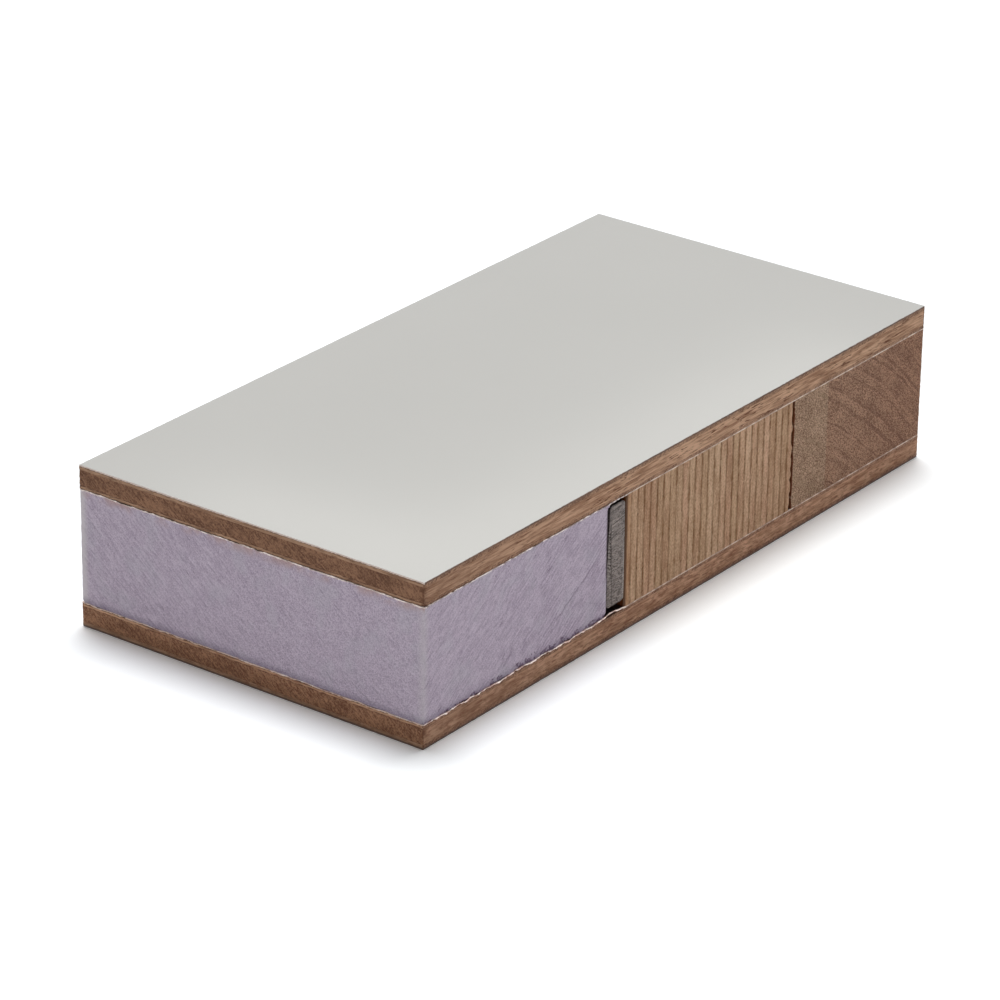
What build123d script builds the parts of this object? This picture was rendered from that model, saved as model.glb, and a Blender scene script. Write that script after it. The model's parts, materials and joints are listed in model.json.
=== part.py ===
from build123d import *
import os

os.makedirs("parts", exist_ok=True)

# Sample block of an insulated timber door leaf, lying flat.
# X runs across the door, from the foam towards the closing edge; Y runs along the door's height;
# Z runs through its thickness. The origin is the centre of the face that it lies on.

# Length that is cut off along the height of the door
sample_width = 165.4

# Layers of each of the two skins, from the outer face inwards
laminate_thickness = 0.8
outer_ply_thickness = 1.2
middle_ply_thickness = 6.6
inner_ply_thickness = 1.2
aluminium_thickness = 0.5

# Core between the skins
core_thickness = 47.4

# Foam filling
foam_length = 113.6
foam_bevel = 2.0
foam_lip_thickness = 1.1
foam_lip_clearance = 0.3

# Steel flat bar, which is glued to the stile and stands clear of the foam and the skins
bar_thickness = 10.0
bar_corner_radius = 1.8
bar_foam_gap = 1.5
bar_under_gap = 3.6
bar_over_gap = 1.3

# Stile of laminated veneer lumber, whose two outermost veneers are planed thinner
veneer_count = 27
veneer_thickness = 4.28
first_veneer_thickness = 4.0
last_veneer_thickness = 3.3

# Hardwood edge, glued up from two lamellas, and the open joint between it and the stile
stile_joint_gap = 1.2
inner_lamella_width = 24.5
edge_lamella_width = 70.35

# Places across the door, measured from the sawn end of the foam
bar_start = foam_length + bar_foam_gap
stile_start = bar_start + bar_thickness
veneer_thicknesses = [veneer_thickness] * veneer_count
veneer_thicknesses[0] = first_veneer_thickness
veneer_thicknesses[-1] = last_veneer_thickness
stile_end = stile_start + sum(veneer_thicknesses)
inner_lamella_start = stile_end + stile_joint_gap
edge_lamella_start = inner_lamella_start + inner_lamella_width
sample_length = edge_lamella_start + edge_lamella_width
foam_end_x = -sample_length / 2

# Heights above the face that the sample lies on
plywood_thickness = outer_ply_thickness + middle_ply_thickness + inner_ply_thickness
skin_thickness = laminate_thickness + plywood_thickness + aluminium_thickness
core_bottom = skin_thickness
core_top = core_bottom + core_thickness
panel_thickness = core_top + skin_thickness


# Skins: each is a decorative laminate, three plies of plywood and a sheet of aluminium,
# all of them flat sheets that end flush with the sawn faces of the sample
skin_layers = (
    ("laminate", laminate_thickness),
    ("plywood_outer_ply", outer_ply_thickness),
    ("plywood_middle_ply", middle_ply_thickness),
    ("plywood_inner_ply", inner_ply_thickness),
    ("aluminium_sheet", aluminium_thickness),
)
for side, outer_face, inwards in (("bottom", 0.0, 1), ("top", panel_thickness, -1)):
    layer_face = outer_face
    for layer, thickness in skin_layers:
        with BuildPart() as skin_layer:
            with BuildSketch(Plane.XY.offset(layer_face)):
                Rectangle(sample_length, sample_width)
            extrude(amount=inwards * thickness)
        skin_layer.part.label = f"{layer}_{side}"
        export_step(skin_layer.part, f"parts/{layer}_{side}.step")
        layer_face += inwards * thickness


# Foam filling: its edge beside the bar keeps a thin lip under the upper skin,
# and its lower corner there is cut off at a slant
foam_edge_x = foam_end_x + foam_length
foam_lip_x = foam_edge_x + bar_foam_gap - foam_lip_clearance
with BuildPart() as foam_core:
    with BuildSketch(Plane.XZ):
        with BuildLine():
            Polyline(
                (foam_end_x, core_bottom),
                (foam_edge_x - foam_bevel, core_bottom),
                (foam_edge_x, core_bottom + foam_bevel),
                (foam_edge_x, core_top - foam_lip_thickness),
                (foam_lip_x, core_top - foam_lip_thickness),
                (foam_lip_x, core_top),
                (foam_end_x, core_top),
                close=True,
            )
        make_face()
    extrude(amount=sample_width / 2, both=True)
foam_core.part.label = "foam_core"
export_step(foam_core.part, "parts/foam_core.step")


# Steel flat bar: rolled with rounded corners, standing on edge against the stile
bar_height = core_thickness - bar_under_gap - bar_over_gap
bar_x = foam_end_x + bar_start + bar_thickness / 2
bar_z = core_bottom + bar_under_gap + bar_height / 2
with BuildPart() as steel_flat_bar:
    with BuildSketch(Plane.XZ):
        with Locations((bar_x, bar_z)):
            RectangleRounded(bar_thickness, bar_height, bar_corner_radius)
    extrude(amount=sample_width / 2, both=True)
steel_flat_bar.part.label = "steel_flat_bar"
export_step(steel_flat_bar.part, "parts/steel_flat_bar.step")


# Stile: veneers standing on edge and glued face to face, with their grain along the door
veneer_x = foam_end_x + stile_start
core_middle = core_bottom + core_thickness / 2
for number, thickness in enumerate(veneer_thicknesses, start=1):
    with BuildPart() as lvl_veneer:
        with BuildSketch(Plane.YZ.offset(veneer_x)):
            with Locations((0, core_middle)):
                Rectangle(sample_width, core_thickness)
        extrude(amount=thickness)
    lvl_veneer.part.label = f"lvl_veneer_{number:02d}"
    export_step(lvl_veneer.part, f"parts/lvl_veneer_{number:02d}.step")
    veneer_x += thickness


# Hardwood edge: a narrow inner lamella and a wide one at the closing edge of the door
for name, start, width in (
    ("hardwood_inner_lamella", inner_lamella_start, inner_lamella_width),
    ("hardwood_edge_lamella", edge_lamella_start, edge_lamella_width),
):
    with BuildPart() as lamella:
        with BuildSketch(Plane.YZ.offset(foam_end_x + start)):
            with Locations((0, core_middle)):
                Rectangle(sample_width, core_thickness)
        extrude(amount=width)
    lamella.part.label = name
    export_step(lamella.part, f"parts/{name}.step")
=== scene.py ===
import json
import math

import bpy
from mathutils import Matrix, Vector

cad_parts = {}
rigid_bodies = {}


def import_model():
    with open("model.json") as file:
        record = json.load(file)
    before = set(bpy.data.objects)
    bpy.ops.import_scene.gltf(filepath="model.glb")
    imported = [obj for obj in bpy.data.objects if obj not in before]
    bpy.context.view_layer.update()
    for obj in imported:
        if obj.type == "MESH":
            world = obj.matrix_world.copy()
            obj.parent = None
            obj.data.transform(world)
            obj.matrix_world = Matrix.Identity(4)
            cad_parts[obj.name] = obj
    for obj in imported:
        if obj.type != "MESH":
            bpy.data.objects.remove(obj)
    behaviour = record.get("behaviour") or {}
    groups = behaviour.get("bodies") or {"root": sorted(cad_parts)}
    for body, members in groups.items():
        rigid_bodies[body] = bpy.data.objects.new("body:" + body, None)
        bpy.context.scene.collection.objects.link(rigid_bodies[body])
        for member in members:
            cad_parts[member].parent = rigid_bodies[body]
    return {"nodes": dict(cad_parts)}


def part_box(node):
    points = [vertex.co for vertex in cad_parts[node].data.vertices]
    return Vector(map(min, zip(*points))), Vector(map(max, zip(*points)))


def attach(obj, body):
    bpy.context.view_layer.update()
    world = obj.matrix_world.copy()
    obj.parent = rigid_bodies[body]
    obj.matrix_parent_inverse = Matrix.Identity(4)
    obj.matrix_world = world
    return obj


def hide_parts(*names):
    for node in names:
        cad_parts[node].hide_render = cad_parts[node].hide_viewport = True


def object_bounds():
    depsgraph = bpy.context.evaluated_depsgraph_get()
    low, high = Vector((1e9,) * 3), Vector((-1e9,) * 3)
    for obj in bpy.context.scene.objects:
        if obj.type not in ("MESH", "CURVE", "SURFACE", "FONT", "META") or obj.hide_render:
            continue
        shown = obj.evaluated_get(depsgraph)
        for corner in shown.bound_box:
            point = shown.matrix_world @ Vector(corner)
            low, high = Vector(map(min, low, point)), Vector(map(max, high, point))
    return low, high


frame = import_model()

for thing in list(bpy.data.objects):
    if thing.type != "EMPTY" and thing.name not in frame["nodes"]:
        bpy.data.objects.remove(thing)
cad_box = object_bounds()
block_low, block_high = cad_box
mm = 0.001


# Camera
# It looks down on the near corner of the sample from about 1.75 metres away, through a long lens. Its
# place is counted from the near bottom corner, and its aim is a turn off the long side and a tilt down.

camera_from_corner = Vector((-1.23245, -0.94926, 0.81750))
camera_turn = math.radians(36.618)
camera_tilt = math.radians(24.724)
camera_roll = math.radians(0.853)
camera_lens = 172.7
camera_film_width = 36.0

camera_data = bpy.data.cameras.new("camera")
camera_data.sensor_width = camera_film_width
camera_data.lens = camera_lens
camera_data.clip_end = 20.0
camera = bpy.data.objects.new("camera", camera_data)
bpy.context.scene.collection.objects.link(camera)
camera.location = block_low + camera_from_corner
camera.rotation_euler = (Matrix.Rotation(camera_turn - math.pi / 2, 3, "Z")
                         @ Matrix.Rotation(math.pi / 2 - camera_tilt, 3, "X")
                         @ Matrix.Rotation(camera_roll, 3, "Z")).to_euler()
bpy.context.scene.camera = camera
bpy.context.scene.view_settings.view_transform = "Standard"


# Laminate sheets
# Brown resin-soaked papers pressed under one pale printed paper, glued to the outer ply as the door's
# face. The saw leaves the brown core showing at the edges, with tiny chips along the pale arris, which
# carries a painted highlight at the ends.

def tone(red, green, blue):
    """A colour as the eye reads it, from 0 to 255, made into a shader's colour."""
    shares = [value / 255 for value in (red, green, blue)]
    return tuple(((share + 0.055) / 1.055) ** 2.4 for share in shares) + (1.0,)


def add(tree, kind, inputs=None, **settings):
    """A node with its settings. Its inputs are numbers, colours or other nodes' outputs."""
    node = tree.nodes.new(kind)
    for name, value in settings.items():
        setattr(node, name, value)
    for name, value in (inputs or {}).items():
        if isinstance(value, bpy.types.NodeSocket):
            tree.links.new(value, node.inputs[name])
        else:
            node.inputs[name].default_value = value
    return node


def sums(tree, operation, first, second=0.0):
    """Arithmetic on one or two values."""
    return add(tree, "ShaderNodeMath", {0: first, 1: second}, operation=operation).outputs[0]


def vectors(tree, operation, first, second=(0.0, 0.0, 0.0)):
    """Arithmetic on one or two vectors. A length and a dot product are values."""
    results = add(tree, "ShaderNodeVectorMath", {0: first, 1: second}, operation=operation).outputs
    return results["Value" if operation in ("LENGTH", "DOT_PRODUCT") else "Vector"]


def rest_of(tree, share):
    """What a share leaves: 1 where it is 0, and 0 where it is 1."""
    return sums(tree, "SUBTRACT", 1.0, share)


def away(tree, value, middle=0.0):
    """How far a value is from a middle, to either side."""
    return sums(tree, "ABSOLUTE", sums(tree, "SUBTRACT", value, middle))


def climb(tree, value, low, high, start=0.0, end=1.0):
    """Goes smoothly from start to end while a value goes from low to high."""
    return add(tree, "ShaderNodeMapRange", {"Value": value, "From Min": low, "From Max": high,
                                            "To Min": start, "To Max": end},
               interpolation_type="SMOOTHSTEP").outputs[0]


def fade(tree, value, low, high):
    """Goes smoothly from 1 to 0 while a value goes from low to high."""
    return climb(tree, value, low, high, 1.0, 0.0)


def blend(tree, share, first, second, blend_type="MIX"):
    """One colour over another."""
    node = add(tree, "ShaderNodeMix", {0: share, 6: first, 7: second},
               data_type="RGBA", blend_type=blend_type)
    return node.outputs[2]


def coordinates(tree, place):
    """The three coordinates of a place."""
    return add(tree, "ShaderNodeSeparateXYZ", {0: place}).outputs


def layered(tree, *layers):
    """Several values added up, each given with its weight."""
    total = 0.0
    for value, weight in layers:
        total = add(tree, "ShaderNodeMath", {0: value, 1: weight, 2: total},
                    operation="MULTIPLY_ADD").outputs[0]
    return total


def both(tree, *shares):
    """Shares multiplied together, so that it is high only where all of them are."""
    product = shares[0]
    for share in shares[1:]:
        product = sums(tree, "MULTIPLY", product, share)
    return product


def mottle(tree, place, size, stretch=(1, 1, 1), turn=(0, 0, 0), detail=3.0, distortion=0.0):
    """Soft noise with spots of about that many millimetres, drawn out along its turned axes."""
    turned = add(tree, "ShaderNodeVectorRotate", {"Vector": place, "Rotation": turn},
                 rotation_type="EULER_XYZ").outputs[0]
    drawn = vectors(tree, "DIVIDE", turned, stretch)
    return add(tree, "ShaderNodeTexNoise", {"Vector": drawn, "Scale": 1 / size, "Detail": detail,
                                            "Distortion": distortion}).outputs[0]


def in_millimetres(tree, place):
    return vectors(tree, "MULTIPLY", place, (1 / mm, 1 / mm, 1 / mm))


def finish_for(name, roughness, metallic=0.0, specular=0.5):
    """A new material with its tree, its shader and the piece's own place in millimetres."""
    material = bpy.data.materials.new(name)
    material.use_nodes = True
    tree = material.node_tree
    shader = tree.nodes["Principled BSDF"]
    shader.inputs["Roughness"].default_value = roughness
    shader.inputs["Metallic"].default_value = metallic
    shader.inputs["Specular IOR Level"].default_value = specular
    place = in_millimetres(tree, add(tree, "ShaderNodeTexCoord").outputs["Object"])
    return material, tree, shader, place


def coat(tree, shader, colour, height, depth):
    """Gives a shader its colour, and relief too fine to model, where height runs from 0 to 1 over
    that many millimetres."""
    tree.links.new(colour, shader.inputs["Base Color"])
    bump = add(tree, "ShaderNodeBump", {"Height": height, "Strength": 1.0, "Distance": depth * mm})
    tree.links.new(bump.outputs[0], shader.inputs["Normal"])


def pick(piece, kind, wanted):
    """Selects the faces or edges of a piece that pass a test, and leaves the piece in edit mode."""
    bpy.ops.object.mode_set(mode="EDIT")
    bpy.ops.mesh.select_mode(type=kind)
    bpy.ops.mesh.select_all(action="DESELECT")
    bpy.ops.object.mode_set(mode="OBJECT")
    for part in piece.data.polygons if kind == "FACE" else piece.data.edges:
        part.select = wanted(part)
    bpy.ops.object.mode_set(mode="EDIT")


def ends_of(piece, edge):
    """The places of an edge's two ends."""
    return [piece.data.vertices[number].co for number in edge.vertices]


def cut_lengthwise(piece, axis, count):
    """Cuts every edge along an axis into that many parts, in two goes where they are over a hundred,
    because one cut makes a hundred parts at most."""
    def runs_along(edge):
        first, last = ends_of(piece, edge)
        return abs((first - last).normalized()[axis]) > 0.9
    coarse = math.ceil(count / 100)
    for parts in (coarse, round(count / coarse)):
        if parts > 1:
            pick(piece, "EDGE", runs_along)
            bpy.ops.mesh.subdivide(number_cuts=parts - 1)


def plain_block(name, low, high):
    """A closed box from one corner to the other."""
    bpy.ops.object.select_all(action="DESELECT")
    bpy.ops.mesh.primitive_cube_add(size=1.0, location=(low + high) / 2)
    piece = bpy.context.object
    piece.name = piece.data.name = name
    piece.scale = high - low
    bpy.ops.object.transform_apply(location=True, rotation=True, scale=True)
    return piece


def sawn_block(name, low, high, pitch):
    """A closed box whose four upright, sawn faces are cut into cells of about that pitch along each
    axis. Its flat faces, which are glued or plain, stay whole."""
    piece = plain_block(name, low, high)
    pick(piece, "FACE", lambda face: abs(face.normal.z) > 0.9)
    bpy.ops.mesh.delete(type="ONLY_FACE")
    for axis in range(3):
        cut_lengthwise(piece, axis, round((high[axis] - low[axis]) / (pitch[axis] * mm)))
    for height in (low.z, high.z):
        pick(piece, "EDGE",
             lambda edge: all(abs(end.z - height) < 1e-7 for end in ends_of(piece, edge)))
        bpy.ops.mesh.edge_face_add()
    bpy.ops.mesh.select_all(action="SELECT")
    bpy.ops.mesh.normals_make_consistent(inside=False)
    bpy.ops.object.mode_set(mode="OBJECT")
    return piece


def carve(piece, amount_out, amount_up=None):
    """Moves a piece's sawn faces outwards, and its points up, by millimetres that each place gives."""
    low, high = (Vector(corner) / mm for corner in (piece.bound_box[0], piece.bound_box[6]))
    tree = bpy.data.node_groups.new(piece.name + "_relief", "GeometryNodeTree")
    tree.interface.new_socket("Geometry", in_out="INPUT", socket_type="NodeSocketGeometry")
    tree.interface.new_socket("Geometry", in_out="OUTPUT", socket_type="NodeSocketGeometry")
    shape = add(tree, "NodeGroupInput").outputs[0]
    place = in_millimetres(tree, add(tree, "GeometryNodeInputPosition").outputs[0])
    point = coordinates(tree, place)
    amount = sums(tree, "MULTIPLY", amount_out(tree, place), mm)
    outwards = []
    for axis in (0, 1):
        beyond = sums(tree, "GREATER_THAN", point[axis], high[axis] - 0.01)
        before = sums(tree, "LESS_THAN", point[axis], low[axis] + 0.01)
        outwards.append(sums(tree, "MULTIPLY", sums(tree, "SUBTRACT", beyond, before), amount))
    up = sums(tree, "MULTIPLY", amount_up(tree, place), mm) if amount_up else 0.0
    shift = add(tree, "ShaderNodeCombineXYZ", {0: outwards[0], 1: outwards[1], 2: up}).outputs[0]
    moved = add(tree, "GeometryNodeSetPosition", {"Geometry": shape, "Offset": shift}).outputs[0]
    tree.links.new(moved, add(tree, "NodeGroupOutput").inputs[0])
    bpy.ops.object.select_all(action="DESELECT")
    piece.select_set(True)
    bpy.context.view_layer.objects.active = piece
    piece.modifiers.new("relief", "NODES").node_group = tree
    bpy.ops.object.modifier_apply(modifier="relief")


def stand_for(piece, node, material):
    """Gives a finished piece its material and lets it ride in the place of its CAD node."""
    piece.data.materials.clear()
    piece.data.materials.append(material)
    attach(piece, "root")
    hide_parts(node)


panel_middle = (block_low.z + block_high.z) / 2 / mm
panel_half = (block_high.z - block_low.z) / 2 / mm
half_length = block_high.x / mm

# How far the pale paper reaches down the sawn faces. On the long sides the saw has chipped it away
# but for a few ragged spots. At the ends its strip is drawn wider, as a painted highlight on the arris.
paper_on_long_sides = -0.03
paper_and_highlight_at_ends = 0.55
paper_thickness = 0.03
laminate_face = tone(190, 189, 185)
laminate_face_shade = tone(187, 186, 182)
laminate_arris_highlight = tone(238, 216, 204)
laminate_core = tone(90, 58, 34)
laminate_core_light = tone(129, 89, 62)
laminate_core_at_ends = tone(150, 124, 104)
laminate_core_below = tone(108, 87, 75)


def laminate_finish():
    material, tree, shader, place = finish_for("pale_laminate", roughness=0.42, specular=0.4)
    point = coordinates(tree, place)
    above = sums(tree, "GREATER_THAN", point[2], panel_middle)
    at_end = sums(tree, "GREATER_THAN", away(tree, point[0]), half_length - 0.3)
    from_middle = away(tree, point[2], panel_middle)
    # the pale paper, which lies on the flat faces and laps over their edges
    paper_start = panel_half - paper_thickness
    ragged = climb(tree, mottle(tree, place, 1.2), 0.3, 0.7, -0.10, 0.14)
    lap = climb(tree, at_end, 0.0, 1.0, paper_on_long_sides, paper_and_highlight_at_ends)
    lap = both(tree, above, sums(tree, "MAXIMUM", sums(tree, "ADD", lap, ragged), 0.0))
    on_paper = climb(tree, sums(tree, "ADD", from_middle, lap), paper_start, paper_start + 0.02)
    face = blend(tree, mottle(tree, place, 60.0, detail=2.0), laminate_face_shade, laminate_face)
    # painted highlight on the pale strip down the ends, where the arris catches the light
    arris_highlight = both(tree, at_end, sums(tree, "LESS_THAN", from_middle, paper_start + 0.02))
    face = blend(tree, both(tree, arris_highlight, 0.9), face, laminate_arris_highlight)
    # the brown papers of the core
    core = climb(tree, mottle(tree, place, 2.0, stretch=(8, 8, 0.3)), 0.4, 0.6)
    core = blend(tree, core, laminate_core, laminate_core_light)
    core = blend(tree, climb(tree, above, 0.0, 1.0, 0.8, 0.0), core, laminate_core_below)
    paler = both(tree, at_end, climb(tree, above, 0.0, 1.0, 0.2, 0.65))
    core = blend(tree, paler, core, laminate_core_at_ends)
    # the fine pearl of the pressed face
    pearl = mottle(tree, place, 0.5, detail=4.0)
    tree.links.new(climb(tree, pearl, 0.3, 0.7, 0.38, 0.46), shader.inputs["Roughness"])
    coat(tree, shader, blend(tree, on_paper, core, face), pearl, 0.012)
    return material


pale_laminate = laminate_finish()
for side in ("top", "bottom"):
    sheet = sawn_block(f"decor_laminate_{side}", *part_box(f"laminate_{side}"), pitch=(0.9, 0.9, 0.4))
    carve(sheet, lambda tree, place: climb(tree, mottle(tree, place, 2.2), 0.35, 0.75, 0.0, -0.16))
    stand_for(sheet, f"laminate_{side}", pale_laminate)


# Plywood
# Three plies of a reddish tropical wood: thin faces with their grain along the door's height, and a
# thick middle with its grain across, which shows long fibres on the long sides of the block.

half_width = block_high.y / mm
foam_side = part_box("foam_core")[1].x / mm
glue_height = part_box("plywood_inner_ply_top")[1].z / mm - panel_middle
aluminium_faces = [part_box("aluminium_sheet_bottom")[0].z / mm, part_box("aluminium_sheet_top")[1].z / mm]
sawn_depth = 0.6
across_saw_marks = Vector((-0.72, -0.80, 1.0)).normalized()


def along_grain(axis, length):
    """A stretch for a pattern that is so many times as long as wide, along one axis."""
    return [length if number == axis else 1.0 for number in range(3)]


def slivers(tree, place, across, pitch, length, detail=3.0):
    """Noise in thin sheets square to a direction, about a pitch apart and many times as long."""
    distance = vectors(tree, "DOT_PRODUCT", place, across)
    squeeze = sums(tree, "MULTIPLY", distance, 1 / pitch - 1 / length)
    squeezed = add(tree, "ShaderNodeVectorMath", {0: across, "Scale": squeeze},
                   operation="SCALE").outputs[0]
    drawn = vectors(tree, "DIVIDE", place, (length, length, length))
    whole = vectors(tree, "ADD", squeezed, drawn)
    return add(tree, "ShaderNodeTexNoise", {"Vector": whole, "Scale": 1.0, "Detail": detail}).outputs[0]


def saw_marks(tree, place, pitch, length, detail=3.0):
    """Marks of the saw. Seen straight on, they climb to the right on the near long side and fall to
    the right on the foam's end."""
    return slivers(tree, place, across_saw_marks, pitch, length, detail)


def corner_share(tree, place, reach):
    """1 at the upright corners of the block and 0 at that distance from them."""
    point = coordinates(tree, place)
    along = climb(tree, away(tree, point[0]), half_length - reach, half_length)
    across = climb(tree, away(tree, point[1]), half_width - reach, half_width)
    return both(tree, along, across)


def near_corner_share(tree, place, reach):
    """1 at the upright corner where the saw came out of the block and 0 at that distance from it."""
    point = coordinates(tree, place)
    along = fade(tree, point[0], -half_length, -half_length + reach)
    across = fade(tree, point[1], -half_width, -half_width + reach)
    return both(tree, along, across)


def on_short_side(tree, point):
    return sums(tree, "GREATER_THAN", away(tree, point[0]), half_length - sawn_depth)


def from_middle_height(tree, point):
    return sums(tree, "SUBTRACT", point[2], panel_middle)


def below_middle(tree, point):
    return sums(tree, "LESS_THAN", from_middle_height(tree, point), 0.0)


def beside_foam(tree, point):
    """1 where the skins cover the foam and the bar, and 0 where they cover the timber."""
    return fade(tree, point[0], foam_side + 6, foam_side + 16)


def splinters(tree, place):
    """How far the near corner of a skin is splintered, from 0 to 1."""
    splintered = climb(tree, mottle(tree, place, 1.8, stretch=(1, 1, 1.4)), 0.40, 0.58)
    return both(tree, splintered, near_corner_share(tree, place, 3.0))


def ply_out(tree, place):
    fibres = climb(tree, mottle(tree, place, 0.9, stretch=(3, 3, 1)), 0.35, 0.65, -0.08, 0.02)
    return layered(tree, (fibres, 1.0), (splinters(tree, place), -0.6))


def ply_fibres(tree, place, axis, light, dark, vessel):
    """A ply seen along its fibres: its colour, and its relief from 0 to 1. The upper skin is cut
    clean and shows its vessels as dark dashes, and the lower one is fuzzier and blotched."""
    point = coordinates(tree, place)
    fuzzy = climb(tree, from_middle_height(tree, point), -1.0, 1.0, 0.45, 0.0)
    fibres = mottle(tree, place, 0.5, stretch=along_grain(axis, 18), detail=4.0)
    figure = mottle(tree, place, 1.3, stretch=along_grain(axis, 10), distortion=0.3)
    bands = mottle(tree, place, 5.0, stretch=along_grain(axis, 6), detail=2.0)
    shade = climb(tree, layered(tree, (fibres, 0.40), (figure, 0.38), (bands, 0.22)), 0.38, 0.61)
    blotches = mottle(tree, place, 1.6, stretch=along_grain(axis, 3.5), detail=4.0)
    blotches = climb(tree, blotches, 0.36, 0.64)
    shade = layered(tree, (shade, rest_of(tree, fuzzy)), (blotches, fuzzy))
    wood = blend(tree, shade, dark, light)
    # painted shade: darker towards the near end of the long sides, and less so on the short side
    darker_near_end = both(tree, fade(tree, point[0], -half_length, -half_length + 110),
                      climb(tree, on_short_side(tree, point), 0.0, 1.0, 1.0, 0.35))
    wood = blend(tree, darker_near_end, wood, (0.86, 0.86, 0.86, 1.0), "MULTIPLY")
    dashes = climb(tree, mottle(tree, place, 0.75, stretch=along_grain(axis, 7)), 0.55, 0.66)
    clusters = mottle(tree, place, 8.0, stretch=along_grain(axis, 2.5))
    clusters = climb(tree, clusters, 0.40, 0.58, 0.25, 1.0)
    sparser = climb(tree, point[0], -half_length + 40, -half_length + 90, 0.6, 1.0)
    wood = blend(tree, both(tree, dashes, clusters, sparser, rest_of(tree, fuzzy)), wood, vessel)
    short_dashes = mottle(tree, place, 0.85, stretch=along_grain(axis, 3.5))
    short_dashes = climb(tree, short_dashes, 0.53, 0.64, 0.0, 1.1)
    wood = blend(tree, both(tree, short_dashes, fuzzy), wood, tone(134, 84, 62))
    return wood, sums(tree, "SUBTRACT", shade, dashes)


def ply_end_grain(tree, place, light, dark):
    """A ply seen on the ends of its fibres: its colour, and its relief from 0 to 1."""
    marks = saw_marks(tree, place, 0.55, 3.5)
    pores = mottle(tree, place, 0.6)
    bands = mottle(tree, place, 7.0, stretch=(1, 2.5, 1))
    shade = climb(tree, layered(tree, (marks, 0.35), (pores, 0.40), (bands, 0.25)), 0.39, 0.61)
    return blend(tree, shade, dark, light), shade


def ply_glue_and_burr_shade(tree, place, wood):
    """The wood with painted shade beside the aluminium, under its burr, and dark glue between its inner
    plies.
    """
    point = coordinates(tree, place)
    short_side = on_short_side(tree, point)
    # painted shade along the aluminium, strongest on the short sides and beside the foam
    burr_shade_strength = sums(tree, "MAXIMUM", both(tree, beside_foam(tree, point), 0.35),
                 both(tree, short_side, 0.7))
    for face in aluminium_faces:
        ragged = climb(tree, mottle(tree, place, 1.8), 0.3, 0.7, 0.05, 0.40)
        from_metal = sums(tree, "SUBTRACT", away(tree, point[2], face), ragged)
        burr_shade = both(tree, fade(tree, from_metal, -0.1, 0.12), burr_shade_strength)
        wood = blend(tree, burr_shade, wood, tone(84, 58, 46))
    wavering = climb(tree, mottle(tree, place, 2.5, detail=2.0), 0.3, 0.7, -0.06, 0.22)
    from_glue = away(tree, away(tree, point[2], panel_middle), glue_height)
    glue_line = fade(tree, sums(tree, "SUBTRACT", from_glue, wavering), -0.05, 0.12)
    glue_line = both(tree, glue_line, climb(tree, short_side, 0.0, 1.0, 0.25, 0.75))
    return blend(tree, glue_line, wood, tone(92, 62, 46))


def ply_finish(name, axis, light, dark, vessel, end_light, end_dark):
    """The wood of a ply whose fibres run along that axis."""
    material, tree, shader, place = finish_for(name, roughness=0.72, specular=0.2)
    point = coordinates(tree, place)
    wood, relief = ply_fibres(tree, place, axis, light, dark, vessel)
    end_wood, end_relief = ply_end_grain(tree, place, end_light, end_dark)
    end_face = (half_length, half_width)[axis] - sawn_depth
    on_end = sums(tree, "GREATER_THAN", away(tree, point[axis]), end_face)
    wood = ply_glue_and_burr_shade(tree, place, blend(tree, on_end, wood, end_wood))
    wood = blend(tree, both(tree, splinters(tree, place), 0.8), wood, tone(96, 60, 42))
    # the ends of the lower skin are paler, its long sides redder and darker near the floor with painted
    # shade, and the upper skin darkens over the foam
    short_side = on_short_side(tree, point)
    long_side = rest_of(tree, short_side)
    below = below_middle(tree, point)
    pale_end = both(tree, below, short_side, climb(tree, point[2], 1.8, 2.4))
    wood = blend(tree, pale_end, wood, (1.32, 1.30, 1.27, 1.0), "MULTIPLY")
    wood = blend(tree, both(tree, below, long_side), wood, (1.0, 0.955, 0.955, 1.0), "MULTIPLY")
    over_foam = both(tree, fade(tree, point[0], -half_length + 60, -half_length + 130),
                     long_side, rest_of(tree, below))
    wood = blend(tree, over_foam, wood, (0.93, 0.90, 0.895, 1.0), "MULTIPLY")
    # painted shade near the floor on the long sides
    near_floor = both(tree, climb(tree, point[2], 1.0, 3.0, 0.45, 0.0), long_side)
    wood = blend(tree, near_floor, wood, (0.84, 0.82, 0.82, 1.0), "MULTIPLY")
    coat(tree, shader, wood, blend(tree, on_end, relief, end_relief), 0.10)
    return material


middle_ply_wood = ply_finish("middle_ply_wood", axis=0, light=tone(226, 184, 152),
                             dark=tone(162, 120, 92), vessel=tone(112, 72, 48),
                             end_light=tone(168, 126, 98), end_dark=tone(106, 72, 53))
face_ply_wood = ply_finish("face_ply_wood", axis=1, light=tone(206, 166, 136),
                           dark=tone(152, 114, 90), vessel=tone(108, 76, 58),
                           end_light=tone(196, 156, 128), end_dark=tone(126, 93, 73))

for side in ("top", "bottom"):
    for ply, material, slot, cell_height in (("outer_ply", face_ply_wood, "face_ply", 0.6),
                                             ("middle_ply", middle_ply_wood, "middle_ply", 0.9),
                                             ("inner_ply", face_ply_wood, "face_ply", 0.6)):
        node = f"plywood_{ply}_{side}"
        board = sawn_block(f"{ply}_{side}", *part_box(node), pitch=(0.8, 0.8, cell_height))
        carve(board, ply_out)
        stand_for(board, node, material)


# Aluminium sheets
# Thin sheets glued between the plywood and the core, which keep the leaf straight. The saw drags a
# burr out of their edges beside the soft foam, and smears them with sawdust beside the timber.

burr_reach = 0.30
burr_waves = {"top": 0.18, "bottom": 0.50}
waves_on_short_side = {"top": 1.3, "bottom": 0.4}
burr_sag = {"top": -0.12, "bottom": 0.0}
lift_under_bar = {"top": 0.0, "bottom": 0.9}


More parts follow.
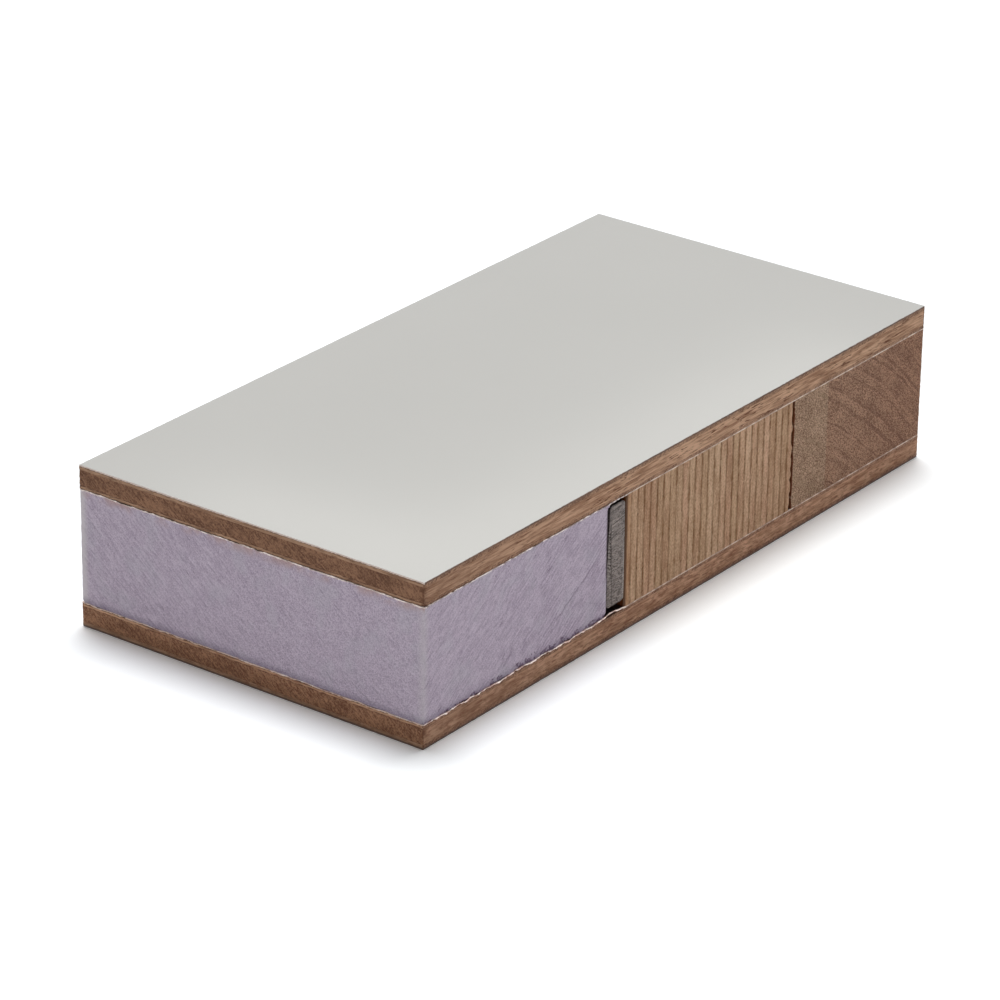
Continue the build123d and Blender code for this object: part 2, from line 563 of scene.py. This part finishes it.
def aluminium_finish():
    material, tree, shader, place = finish_for("sawn_aluminium", roughness=0.45)
    point = coordinates(tree, place)
    short_side = on_short_side(tree, point)
    below = below_middle(tree, point)
    torn = beside_foam(tree, point)
    smear = climb(tree, mottle(tree, place, 1.4, stretch=(2.2, 2.2, 1), detail=4.0), 0.38, 0.62)
    bright_above = blend(tree, smear, tone(138, 120, 116), tone(222, 211, 207))
    bright_below = blend(tree, smear, tone(206, 172, 162), tone(254, 240, 232))
    bright = blend(tree, below, bright_above, bright_below)
    dusty = blend(tree, smear, tone(186, 154, 134), tone(242, 222, 206))
    metal = blend(tree, torn, dusty, bright)
    over_end = both(tree, short_side, rest_of(tree, below), 0.35)
    metal = blend(tree, over_end, metal, tone(206, 188, 178))
    dull = climb(tree, mottle(tree, place, 14.0, stretch=(1, 1, 0.2)), 0.52, 0.6, 0.9, 0.1)
    metal = blend(tree, both(tree, below, short_side, dull), metal, tone(230, 204, 188))
    # painted shade: the hidden inner faces, seen only in the gaps at the bar, are near black and less
    # metallic
    inside = fade(tree, away(tree, point[1]), half_width - 0.6, half_width - 0.2)
    inside = both(tree, inside, rest_of(tree, short_side))
    metal = blend(tree, inside, metal, tone(34, 26, 24))
    dusty_or_shaded = sums(tree, "MAXIMUM", inside, both(tree, below, short_side))
    clean = climb(tree, sums(tree, "SUBTRACT", torn, dusty_or_shaded), 0.0, 1.0, 0.1, 0.8)
    tree.links.new(clean, shader.inputs["Metallic"])
    coat(tree, shader, metal, mottle(tree, place, 0.35), 0.08)
    return material


def burr_out(tree, place):
    reach = climb(tree, mottle(tree, place, 1.3, detail=4.0), 0.32, 0.68, 0.0, burr_reach)
    return both(tree, reach, beside_foam(tree, coordinates(tree, place)))


sawn_aluminium = aluminium_finish()
for side in ("top", "bottom"):
    node = f"aluminium_sheet_{side}"
    sheet = sawn_block(f"reinforcing_sheet_{side}", *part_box(node), pitch=(0.5, 0.5, 0.5))
    sheet_middle = sum(corner.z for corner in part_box(node)) / 2 / mm

    def burr_up(tree, place):
        """The burr waves and swells beside the foam, sags at the ends and lifts under the bar."""
        point = coordinates(tree, place)
        torn = beside_foam(tree, point)
        short_side = on_short_side(tree, point)
        wave = climb(tree, mottle(tree, place, 5.0), 0.28, 0.72, -burr_waves[side], burr_waves[side])
        wave = both(tree, wave, climb(tree, short_side, 0.0, 1.0, 1.0, waves_on_short_side[side]))
        swell = both(tree, climb(tree, mottle(tree, place, 1.1), 0.34, 0.66, -0.19, 0.05), torn)
        upper_or_lower = sums(tree, "SIGN", sums(tree, "SUBTRACT", point[2], sheet_middle))
        under_bar = both(tree, climb(tree, point[0], foam_side - 3, foam_side + 2),
                         fade(tree, point[0], foam_side + 6, foam_side + 11),
                         fade(tree, point[1], -half_width, -half_width + 3))
        return layered(tree, (wave, torn), (swell, upper_or_lower), (short_side, burr_sag[side]),
                       (under_bar, lift_under_bar[side]))

    carve(sheet, burr_out, burr_up)
    stand_for(sheet, node, sawn_aluminium)


# Foam core
# One block of lilac extruded foam, with a thin lip over the bar and a slanted lower corner beside it.
# The saw has scored its faces with slanted lines, and torn crumbs out of its long lower edges.

foam_low, foam_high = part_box("foam_core")
foam_floor = foam_low.z / mm
foam_roof = foam_high.z / mm
foam_lip_reach = 1.2
foam_lip_thickness = 1.1
foam_bevel = 1.0
foam_edge = foam_side - foam_lip_reach
tooth_pitch = 1.45

# The long score climbs from here at this slope
score_start = -half_length + 80
score_height = 20.6
score_slope = 0.61


def foam_tears(tree, place):
    """How much of the lower edge is torn away at a place, from 0 to 1."""
    point = coordinates(tree, place)
    long_side = climb(tree, away(tree, point[1]), half_width - 1.5, half_width - 0.5)
    towards_bar = climb(tree, point[0], -half_length + 20, -half_length + 62, 0.45, 1.0)
    reach = climb(tree, mottle(tree, place, 3.5), 0.32, 0.66, 0.3, 3.8)
    reach = both(tree, reach, towards_bar, long_side)
    height = sums(tree, "SUBTRACT", sums(tree, "SUBTRACT", point[2], foam_floor), reach)
    crumbs = climb(tree, mottle(tree, place, 1.2), 0.40, 0.54)
    return both(tree, fade(tree, height, -0.9, 0.0), crumbs)


def foam_scratches(tree, place):
    """Short deep scratches, from 0 to 1."""
    deep = climb(tree, saw_marks(tree, place, 0.8, 7.0, 2.0), 0.61, 0.69)
    fewer = climb(tree, on_short_side(tree, coordinates(tree, place)), 0.0, 1.0, 1.0, 0.5)
    return both(tree, deep, fewer, climb(tree, mottle(tree, place, 11.0, detail=2.0), 0.50, 0.60))


def tooth_lines(tree, place):
    """Even lines that the saw's teeth have left in patches, from 0 in a line to 1 between them."""
    distance = vectors(tree, "DOT_PRODUCT", place, across_saw_marks)
    wobble = mottle(tree, place, 12.0, detail=2.0)
    turns = layered(tree, (distance, 2 * math.pi / tooth_pitch), (wobble, 16.0))
    return climb(tree, sums(tree, "SINE", turns), -1.0, 0.4)


def long_score(tree, place):
    """One long score that the saw has left on the near long side, towards the bar."""
    point = coordinates(tree, place)
    along = sums(tree, "SUBTRACT", point[0], score_start)
    height = sums(tree, "SUBTRACT", point[2], score_height)
    off_line = sums(tree, "SUBTRACT", height, sums(tree, "MULTIPLY", along, score_slope))
    wavy = climb(tree, mottle(tree, place, 4.0), 0.3, 0.7, -0.35, 0.35)
    line = fade(tree, away(tree, sums(tree, "ADD", off_line, wavy)), 0.1, 0.75)
    ends = both(tree, climb(tree, along, -2.0, 4.0), fade(tree, along, 22.0, 31.0))
    worn = climb(tree, mottle(tree, place, 3.0), 0.34, 0.56, 0.5, 1.0)
    return both(tree, line, ends, worn, sums(tree, "LESS_THAN", point[1], 0.0))


def foam_scored(tree, place):
    return sums(tree, "MAXIMUM", foam_scratches(tree, place), long_score(tree, place))


def foam_out(tree, place):
    marks = climb(tree, saw_marks(tree, place, 1.2, 10.0), 0.3, 0.7, -0.10, 0.0)
    corner = both(tree, corner_share(tree, place, 1.5), -0.12)
    tears = both(tree, foam_tears(tree, place), -0.45)
    return layered(tree, (marks, 1.0), (corner, 1.0), (tears, 1.0), (foam_scored(tree, place), -0.3))


def foam_finish():
    material, tree, shader, place = finish_for("lilac_foam", roughness=0.85, specular=0.15)
    point = coordinates(tree, place)
    short_side = on_short_side(tree, point)
    # cells, fine saw marks and the lines of the teeth; the far half of the end shows fewer marks
    cells = mottle(tree, place, 0.5)
    fine_marks = saw_marks(tree, place, 0.7, 5.0)
    drift = mottle(tree, place, 7.0)
    patches = climb(tree, mottle(tree, place, 16.0, detail=2.0), 0.40, 0.60)
    towards_bar = climb(tree, point[0], -half_length + 40, -half_length + 80, 0.2, 1.0)
    lines = both(tree, rest_of(tree, tooth_lines(tree, place)), patches, towards_bar)
    marks_share = both(tree, short_side, fade(tree, point[1], -20, 30))
    marks_share = climb(tree, marks_share, 0.0, 1.0, 0.38, 0.20)
    cells_share = sums(tree, "SUBTRACT", 0.93, marks_share)
    shade = layered(tree, (cells, cells_share), (fine_marks, marks_share), (drift, 0.07),
                    (lines, -0.10))
    foam = blend(tree, climb(tree, shade, 0.30, 0.66), tone(176, 160, 182), tone(227, 214, 230))
    clouds = climb(tree, mottle(tree, place, 14.0), 0.50, 0.66, 0.0, 0.20)
    foam = blend(tree, clouds, foam, tone(198, 200, 208))
    # rubbed corners, a wider pale stripe at the far corner, and a stain of glue under the upper skin
    foam = blend(tree, both(tree, corner_share(tree, place, 4.0), 0.45), foam, tone(222, 216, 220))
    far_corner = climb(tree, point[1], half_width - 4.5, half_width - 1.0)
    foam = blend(tree, both(tree, short_side, far_corner, 0.7), foam, tone(231, 225, 229))
    stain = both(tree, climb(tree, point[2], foam_roof - 4.5, foam_roof), short_side,
                 climb(tree, mottle(tree, place, 9.0), 0.42, 0.62, 0.0, 0.75))
    foam = blend(tree, stain, foam, tone(204, 172, 168))
    foam = blend(tree, both(tree, foam_scored(tree, place), 0.5), foam, tone(134, 118, 142))
    # darker towards the lower edge, and painted shade in the tears along it
    near_floor = climb(tree, point[2], foam_floor, foam_floor + 3.5, 0.45, 0.0)
    at_floor = climb(tree, point[2], foam_floor + 0.1, foam_floor + 0.7, 0.45, 0.0)
    foam = blend(tree, sums(tree, "MAXIMUM", near_floor, at_floor), foam, tone(112, 98, 126))
    # painted shade in the torn pits
    foam = blend(tree, both(tree, foam_tears(tree, place), 0.75), foam, tone(104, 84, 106))
    # the edge beside the bar: painted shade along a chip in its upper half, and painted shade inside the
    # gap
    chipped_edge_shade = both(tree, climb(tree, point[0], foam_edge - 0.85, foam_edge - 0.35),
                   climb(tree, point[2], 23, 30),
                   fade(tree, point[2], foam_roof - 2.4, foam_roof - 1.2))
    foam = blend(tree, both(tree, chipped_edge_shade, 0.8), foam, tone(76, 62, 66))
    shade_in_gap = both(tree, climb(tree, point[0], foam_edge - 0.3, foam_edge - 0.1),
                  fade(tree, away(tree, point[1]), half_width - 1.2, half_width - 0.3))
    foam = blend(tree, shade_in_gap, foam, tone(60, 52, 58))
    coat(tree, shader, foam, shade, 0.25)
    return material


filling = sawn_block("foam_filling", foam_low, foam_high, pitch=(0.64, 0.64, 0.64))
rebate = plain_block("rebate", Vector((foam_edge * mm, foam_low.y - mm, foam_low.z - mm)),
                     Vector((foam_high.x + mm, foam_high.y + mm,
                             foam_high.z - foam_lip_thickness * mm)))
bpy.ops.object.select_all(action="DESELECT")
filling.select_set(True)
bpy.context.view_layer.objects.active = filling
cut = filling.modifiers.new("cut", "BOOLEAN")
cut.object = rebate
bpy.ops.object.modifier_apply(modifier="cut")
bpy.data.objects.remove(rebate)
bpy.ops.object.mode_set(mode="EDIT")
bpy.ops.mesh.select_all(action="SELECT")
bpy.ops.mesh.bisect(plane_co=(foam_edge * mm, 0, foam_low.z + foam_bevel * mm), plane_no=(1, 0, -1),
                    use_fill=True, clear_outer=True)
bpy.ops.object.mode_set(mode="OBJECT")
carve(filling, foam_out)
stand_for(filling, "foam_core", foam_finish())


# Steel flat bar
# A rolled bar with rounded corners, which stiffens the edge of the leaf. The saw leaves fine grooves
# across its end, and a ladder of deeper chatter marks down the side that it entered.

bar_low, bar_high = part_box("steel_flat_bar")
bar_corner = 1.8
chatter_pitch = 1.3
ladder_width_at_floor = 2.95
ladder_taper = 0.048
groove_step = 0.375
width_step = 0.5

# How far three of the bar's corners stand to the right of a true rectangle, seen on the near side
bar_foot_shift = -1.4
bar_head_shift = -0.05
bar_back_shift = -0.45


def from_bar_side(tree, point):
    """How far a place is from the bar's leaning side, which nears the foam towards its foot."""
    side = climb(tree, point[2], bar_low.z / mm, bar_high.z / mm, bar_low.x / mm + bar_foot_shift,
                 bar_low.x / mm + bar_head_shift)
    return sums(tree, "SUBTRACT", point[0], side)


def from_ladder_side(tree, point):
    """How far a place is beyond the ladder, which widens towards the bar's foot."""
    edge_at_floor = bar_low.x / mm + ladder_width_at_floor
    return layered(tree, (point[0], 1.0), (point[2], ladder_taper), (edge_at_floor, -1.0))


def chatter(tree, place):
    """The ladder's share, 0 off it and 1 on it, and its rungs, 0 between them and 1 on them."""
    point = coordinates(tree, place)
    across = from_bar_side(tree, point)
    on_ladder = fade(tree, from_ladder_side(tree, point), -0.2, 0.2)
    middle = both(tree, climb(tree, point[2], 24, 29), fade(tree, point[2], 45, 49))
    middle = both(tree, middle, climb(tree, mottle(tree, place, 2.5), 0.36, 0.56, 0.15, 1.0))
    turns = layered(tree, (point[2], 2 * math.pi / chatter_pitch), (across, 1.5),
                    (mottle(tree, place, 2.6), 14.0))
    return both(tree, on_ladder, middle), climb(tree, sums(tree, "SINE", turns), -0.9, 0.5)


def bar_grooves(tree, place):
    """Fine grooves across the sawn end, from 0 in a groove to 1 on its crest. They lie level in the
    lower half and slant in the upper one."""
    point = coordinates(tree, place)
    level = slivers(tree, place, Vector((0.1, 0.0, 1.0)).normalized(), 0.6, 2.5)
    slanted = slivers(tree, place, Vector((-0.15, 0.0, 1.0)).normalized(), 0.9, 7.0)
    upper = climb(tree, point[2], 34, 44, 0.0, 0.6)
    lower = sums(tree, "SUBTRACT", 0.6, upper)
    grit = mottle(tree, place, 0.6)
    return climb(tree, layered(tree, (level, lower), (slanted, upper), (grit, 0.4)), 0.37, 0.63)


def bar_out(tree, place):
    on_ladder, rungs = chatter(tree, place)
    fine = climb(tree, bar_grooves(tree, place), 0.0, 1.0, -0.08, 0.0)
    deep = both(tree, on_ladder, sums(tree, "SUBTRACT", rungs, 1.0))
    return layered(tree, (fine, 1.0), (deep, 0.25), (on_ladder, -0.10))


def steel_finish():
    material, tree, shader, place = finish_for("sawn_steel", roughness=0.5, metallic=0.75)
    point = coordinates(tree, place)
    on_ladder, rungs = chatter(tree, place)
    grooves = bar_grooves(tree, place)
    steel = blend(tree, grooves, tone(59, 51, 48), tone(143, 132, 127))
    stain = climb(tree, mottle(tree, place, 5.0, detail=4.0), 0.4, 0.65, 0.0, 0.5)
    steel = blend(tree, stain, steel, tone(103, 94, 90))
    steel = blend(tree, both(tree, on_ladder, rungs, 0.6), steel, tone(140, 133, 130))
    # a painted highlight along the rim against the stile, and painted shade beside the gap
    rim_highlight = both(tree, climb(tree, point[0], bar_high.x / mm - 1.1, bar_high.x / mm - 0.5),
               climb(tree, point[2], 34, 46, 0.35, 0.0))
    steel = blend(tree, rim_highlight, steel, tone(172, 163, 156))
    shade_beside_gap = both(tree, climb(tree, from_bar_side(tree, point), 0.4, 2.4, 0.5, 0.0),
                      climb(tree, away(tree, point[2], panel_middle), 8, 14, 0.1, 1.0))
    steel = blend(tree, shade_beside_gap, steel, tone(84, 75, 73))
    # painted shade in the hollows between the rungs, darkest at the ladder's edge, and along the step down
    # to it
    from_ladder = from_ladder_side(tree, point)
    deepest = climb(tree, from_ladder, -2.0, 0.0, 0.45, 1.0)
    shaded_hollow = both(tree, on_ladder, rest_of(tree, rungs), deepest)
    steel = blend(tree, shaded_hollow, steel, tone(46, 37, 34))
    wavy = climb(tree, mottle(tree, place, 2.0), 0.3, 0.7, -0.2, 0.2)
    step = climb(tree, away(tree, sums(tree, "ADD", from_ladder, wavy)), 0.1, 0.6, 0.75, 0.0)
    steel = blend(tree, both(tree, step, fade(tree, point[2], 46, 52)), steel, tone(58, 49, 46))
    # the rolled skin behind the sawn ends
    sawn = climb(tree, away(tree, point[1]), half_width - 1.0, half_width - 0.5)
    steel = blend(tree, sawn, tone(40, 34, 32), steel)
    coat(tree, shader, steel, layered(tree, (grooves, 0.5), (both(tree, on_ladder, rungs), 0.5)), 0.15)
    return material


bar = plain_block("flat_bar", bar_low, bar_high)
for corner_x, corner_z, shift in ((bar_low.x, bar_low.z, bar_foot_shift),
                                  (bar_low.x, bar_high.z, bar_head_shift),
                                  (bar_high.x, bar_high.z, bar_back_shift)):
    pick(bar, "EDGE", lambda edge: all(abs(end.x - corner_x) < 1e-6 and abs(end.z - corner_z) < 1e-6
                                       for end in ends_of(bar, edge)))
    bpy.ops.transform.translate(value=(shift * mm, 0, 0))
    bpy.ops.object.mode_set(mode="OBJECT")
pick(bar, "EDGE", lambda edge: abs(ends_of(bar, edge)[0].y - ends_of(bar, edge)[1].y) > mm)
bpy.ops.mesh.bevel(offset=bar_corner * mm, segments=6, profile=0.5, affect="EDGES")
for start, end, step, normal in ((bar_low.z, bar_high.z, groove_step * mm, Vector((0, 0, 1))),
                                 (bar_low.x, bar_high.x, width_step * mm, Vector((1, 0, 0)))):
    for number in range(1, round((end - start) / step)):
        bpy.ops.mesh.select_all(action="SELECT")
        bpy.ops.mesh.bisect(plane_co=normal * (start + number * step), plane_no=normal)
bpy.ops.object.mode_set(mode="OBJECT")
carve(bar, bar_out)
stand_for(bar, "steel_flat_bar", steel_finish())


# Laminated veneer lumber
# Peeled softwood veneers on edge, glued face to face with dark resin, their grain along the door. Each
# shows its own tone of end grain, and the saw has splintered the last one along the open joint.

stile_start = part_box("lvl_veneer_01")[0].x / mm
first_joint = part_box("lvl_veneer_01")[1].x / mm
veneer_pitch = (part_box("lvl_veneer_02")[1].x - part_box("lvl_veneer_02")[0].x) / mm
veneer_nodes = sorted(node for node in frame["nodes"] if node.startswith("lvl_veneer_"))
stile_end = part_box(veneer_nodes[-1])[1].x / mm
# Painted shade for the faces inside the open joints.
joint_shade = tone(114, 58, 22)


def from_joint(tree, place):
    """The veneer that a place lies in, as a number, and its distance from the nearest glue line."""
    along = sums(tree, "SUBTRACT", coordinates(tree, place)[0], first_joint)
    along = sums(tree, "DIVIDE", along, veneer_pitch)
    off_middle = away(tree, sums(tree, "FRACT", along), 0.5)
    distance = sums(tree, "MULTIPLY", sums(tree, "SUBTRACT", 0.5, off_middle), veneer_pitch)
    return sums(tree, "FLOOR", along), distance


def own_value(tree, number, row):
    """A value between 0 and 1 that is one veneer's own."""
    seed = add(tree, "ShaderNodeCombineXYZ", {0: number, 1: row}).outputs[0]
    noise = add(tree, "ShaderNodeTexWhiteNoise", {"Vector": seed}, noise_dimensions="2D")
    return noise.outputs["Value"]


def veneer_out(tree, place):
    own_depth = own_value(tree, from_joint(tree, place)[0], 1.0)
    streaks = climb(tree, mottle(tree, place, 0.8, stretch=(1, 1, 4)), 0.3, 0.7, -0.10, 0.0)
    at_joint = sums(tree, "GREATER_THAN", coordinates(tree, place)[0], stile_end - 0.02)
    torn = climb(tree, mottle(tree, place, 3.0, stretch=(1, 1, 1.3)), 0.36, 0.62, 0.12, -0.30)
    return layered(tree, (own_depth, -0.06), (streaks, 1.0), (at_joint, torn))


def veneer_finish():
    material, tree, shader, place = finish_for("veneer_lumber", roughness=0.75, specular=0.2)
    number, distance = from_joint(tree, place)
    point = coordinates(tree, place)
    # end grain, with a redness and a depth of tone that are each veneer's own
    streaks = mottle(tree, place, 0.8, stretch=(1, 1, 7), detail=4.0)
    flecks = mottle(tree, place, 0.7, stretch=(1, 1, 1.4), detail=4.0)
    drift = mottle(tree, place, 5.0, stretch=(0.8, 1, 4), detail=2.0)
    shade = climb(tree, layered(tree, (streaks, 0.30), (flecks, 0.42), (drift, 0.28)), 0.36, 0.64)
    wood = blend(tree, shade, tone(180, 142, 111), tone(232, 197, 164))
    uneven = climb(tree, mottle(tree, place, 12.0, stretch=(0.4, 1, 1.5)), 0.35, 0.65, 0.4, 1.0)
    redness = both(tree, climb(tree, own_value(tree, number, 2.0), 0.2, 1.0, 0.0, 0.9), uneven)
    wood = blend(tree, redness, wood, (1.0, 0.91, 0.93, 1.0), "MULTIPLY")
    depth = climb(tree, own_value(tree, number, 3.0), 0.0, 1.0, 0.0, 0.8)
    wood = blend(tree, depth, wood, (0.86, 0.83, 0.78, 1.0), "MULTIPLY")
    # glue lines, which wander and bead, and dark specks beside them
    wander = climb(tree, mottle(tree, place, 3.0, stretch=(1.5, 1, 1.6)), 0.3, 0.7, -0.12, 0.12)
    bead = climb(tree, mottle(tree, place, 1.2, stretch=(1, 1, 2.2)), 0.32, 0.68, 0.35, 0.85)
    glue = fade(tree, layered(tree, (distance, 1.0), (wander, 1.0), (bead, -1.0)), -0.65, 0.60)
    faint = climb(tree, mottle(tree, place, 9.0, stretch=(0.4, 1, 1.5)), 0.38, 0.6, 0.40, 0.85)
    wood = blend(tree, both(tree, glue, faint), wood, tone(138, 98, 62))
    specks = climb(tree, mottle(tree, place, 1.1, stretch=(1, 1, 1.5), detail=1.0), 0.60, 0.68)
    near_glue = climb(tree, distance, 0.3, 0.9, 1.0, 0.15)
    wood = blend(tree, both(tree, specks, near_glue, 0.55), wood, tone(104, 70, 44))
    # rust off the bar in the first veneer, and painted shade inside the open joint
    from_bar = sums(tree, "SUBTRACT", point[0], stile_start)
    rust = fade(tree, layered(tree, (from_bar, 1.0), (streaks, 1.6)), 1.8, 5.4)
    wood = blend(tree, both(tree, rust, 0.6), wood, tone(172, 122, 80))
    against_bar = climb(tree, layered(tree, (from_bar, 1.0), (streaks, 0.8)), 1.2, 2.6, 0.95, 0.0)
    wood = blend(tree, against_bar, wood, tone(84, 56, 36))
    # painted shade on the faces behind the sawn end, seen only in the open joint and the gaps
    sawn = climb(tree, away(tree, point[1]), half_width - 0.55, half_width - 0.3)
    wood = blend(tree, sawn, joint_shade, wood)
    coat(tree, shader, wood, shade, 0.14)
    return material


veneer_lumber = veneer_finish()
for node in veneer_nodes:
    veneer = sawn_block(node.replace("lvl_", "peeled_"), *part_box(node), pitch=(0.53, 165.0, 0.75))
    carve(veneer, veneer_out)
    stand_for(veneer, node, veneer_lumber)


# Hardwood edge
# Two lamellas of a fine-pored hardwood, glued side by side, with their grain along the door. Both show
# end grain to the saw. The wide one has slanted growth bands, and long grain on the closing edge.

lamella_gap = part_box("hardwood_inner_lamella")[0].x / mm
pith = (half_length - 222.0, 0.0, -208.0)
pore_slant = (0, math.radians(-40), 0)


def ring_noise(tree, radius, scale, detail):
    """Bands of changing width round the pith."""
    return add(tree, "ShaderNodeTexNoise", {"W": sums(tree, "MULTIPLY", radius, scale), "Scale": 1.0,
                                            "Detail": detail}, noise_dimensions="1D").outputs[0]


def hardwood_finish(name, light, dark, band, band_share):
    material, tree, shader, place = finish_for(name, roughness=0.7, specular=0.22)
    point = coordinates(tree, place)
    # growth bands round a pith that lies outside the board
    from_pith = vectors(tree, "MULTIPLY", vectors(tree, "SUBTRACT", place, pith), (1, 0, 1))
    wavering = mottle(tree, place, 20.0, stretch=(1, 8, 1), detail=2.0)
    radius = layered(tree, (vectors(tree, "LENGTH", from_pith), 1.0), (wavering, 5.0))
    wide = climb(tree, ring_noise(tree, radius, 0.16, 2.0), 0.48, 0.68, 0.0, 0.6)
    thin = climb(tree, ring_noise(tree, radius, 0.40, 1.0), 0.56, 0.62)
    patchy = climb(tree, mottle(tree, place, 8.0, stretch=(1, 6, 1)), 0.38, 0.60, 0.45, 1.0)
    # pores, drawn out along the slant of the bands
    pores = mottle(tree, place, 0.5, stretch=(1.6, 12, 1), turn=pore_slant, detail=4.0)
    dots = mottle(tree, place, 0.7, stretch=(1.5, 10, 1), turn=pore_slant, detail=1.0)
    dots = climb(tree, dots, 0.57, 0.68)
    clouds = mottle(tree, place, 9.0, stretch=(1, 4, 1))
    shade = climb(tree, layered(tree, (pores, 0.82), (clouds, 0.18)), 0.37, 0.63)
    wood = blend(tree, shade, dark, light)
    rings = both(tree, sums(tree, "MAXIMUM", wide, thin), patchy, band_share)
    wood = blend(tree, rings, wood, band)
    wood = blend(tree, both(tree, dots, 0.45), wood, tone(104, 76, 58))
    redder = climb(tree, point[0], half_length - 66, half_length)
    wood = blend(tree, redder, wood, (0.92, 0.85, 0.82, 1.0), "MULTIPLY")
    long_grain = both(tree, on_short_side(tree, point), 0.35)
    wood = blend(tree, long_grain, wood, tone(190, 152, 126))
    # painted shade along the open joint
    ragged = climb(tree, mottle(tree, place, 3.2, stretch=(1, 1, 1.5)), 0.35, 0.65, -0.1, 0.4)
    shade_beside_joint = sums(tree, "SUBTRACT", point[0], ragged)
    shade_beside_joint = climb(tree, shade_beside_joint, lamella_gap, lamella_gap + 0.3, 0.9, 0.0)
    wood = blend(tree, shade_beside_joint, wood, joint_shade)
    coat(tree, shader, wood, sums(tree, "SUBTRACT", pores, dots), 0.14)
    return material


greyish_hardwood = hardwood_finish("greyish_hardwood", light=tone(208, 174, 146),
                                   dark=tone(132, 101, 79), band=tone(148, 122, 96), band_share=0.4)
reddish_hardwood = hardwood_finish("reddish_hardwood", light=tone(200, 158, 130),
                                   dark=tone(124, 90, 70), band=tone(104, 68, 51), band_share=0.52)
for name, material in (("inner_lamella", greyish_hardwood), ("edge_lamella", reddish_hardwood)):
    lamella = sawn_block(name, *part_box(f"hardwood_{name}"), pitch=(0.8, 0.9, 0.8))
    carve(lamella, lambda tree, place: climb(tree, mottle(tree, place, 1.2), 0.3, 0.7, -0.10, 0.0))
    stand_for(lamella, f"hardwood_{name}", material)


# Studio
# A white floor, an even white sky and one large soft lamp overhead, set a little behind the sample.
# Two weak strip lamps close above the near long edge and the foam's end brighten the pale face there.

floor_half_width = 6.0
floor_white = (0.87, 0.87, 0.87, 1.0)
floor_white_as_seen = (1.15, 1.18, 1.195, 1.0)
sky_strength = 0.16
lamp_strength = 0.85 * math.pi
lamp_width = math.radians(30)
lamp_tilt = math.radians(13)


def seen_directly(tree):
    """1 for what the camera, a reflection or a glass shows, and 0 for the light on the object."""
    paths = add(tree, "ShaderNodeLightPath").outputs
    seen = sums(tree, "MAXIMUM", paths["Is Camera Ray"], paths["Is Glossy Ray"])
    return sums(tree, "MAXIMUM", seen, paths["Is Transmission Ray"])


bpy.ops.object.select_all(action="DESELECT")
bpy.ops.mesh.primitive_plane_add(size=2 * floor_half_width, location=(0, 0, block_low.z))
floor = bpy.context.object
floor.name = "floor"
floor_paint, floor_tree, floor_shader, _ = finish_for("white_floor", roughness=0.9, specular=0.0)
floor_colour = blend(floor_tree, seen_directly(floor_tree), floor_white, floor_white_as_seen)
floor_tree.links.new(floor_colour, floor_shader.inputs["Base Color"])
floor.data.materials.append(floor_paint)

world = bpy.data.worlds.new("sky")
bpy.context.scene.world = world
world.use_nodes = True
sky = world.node_tree
strength = add(sky, "ShaderNodeMapRange", {"Value": seen_directly(sky), "To Min": sky_strength,
                                           "To Max": 1.0}).outputs[0]
sky.nodes["Background"].inputs["Color"].default_value = (1.0, 1.0, 1.0, 1.0)
sky.links.new(strength, sky.nodes["Background"].inputs["Strength"])

lamp_data = bpy.data.lights.new("overhead_lamp", "SUN")
lamp_data.energy = lamp_strength
lamp_data.angle = lamp_width
lamp = bpy.data.objects.new("overhead_lamp", lamp_data)
bpy.context.scene.collection.objects.link(lamp)
lamp.rotation_euler = (Matrix.Rotation(camera_turn - math.pi / 2, 3, "Z")
                       @ Matrix.Rotation(-lamp_tilt, 3, "X")).to_euler()

long_edge_place = (block_low.x + 0.125, block_low.y, block_high.z + 0.045)
foam_end_place = (block_low.x + 0.010, block_low.y + 0.07, block_high.z + 0.042)
for name, length, width, power, place in (
        ("long_edge_lamp", 0.32, 0.03, 0.0185, long_edge_place),
        ("foam_end_lamp", 0.03, 0.10, 0.0056, foam_end_place)):
    strip_data = bpy.data.lights.new(name, "AREA")
    strip_data.shape = "RECTANGLE"
    strip_data.size = length
    strip_data.size_y = width
    strip_data.energy = power
    strip = bpy.data.objects.new(name, strip_data)
    bpy.context.scene.collection.objects.link(strip)
    strip.location = place
    strip.visible_camera = False
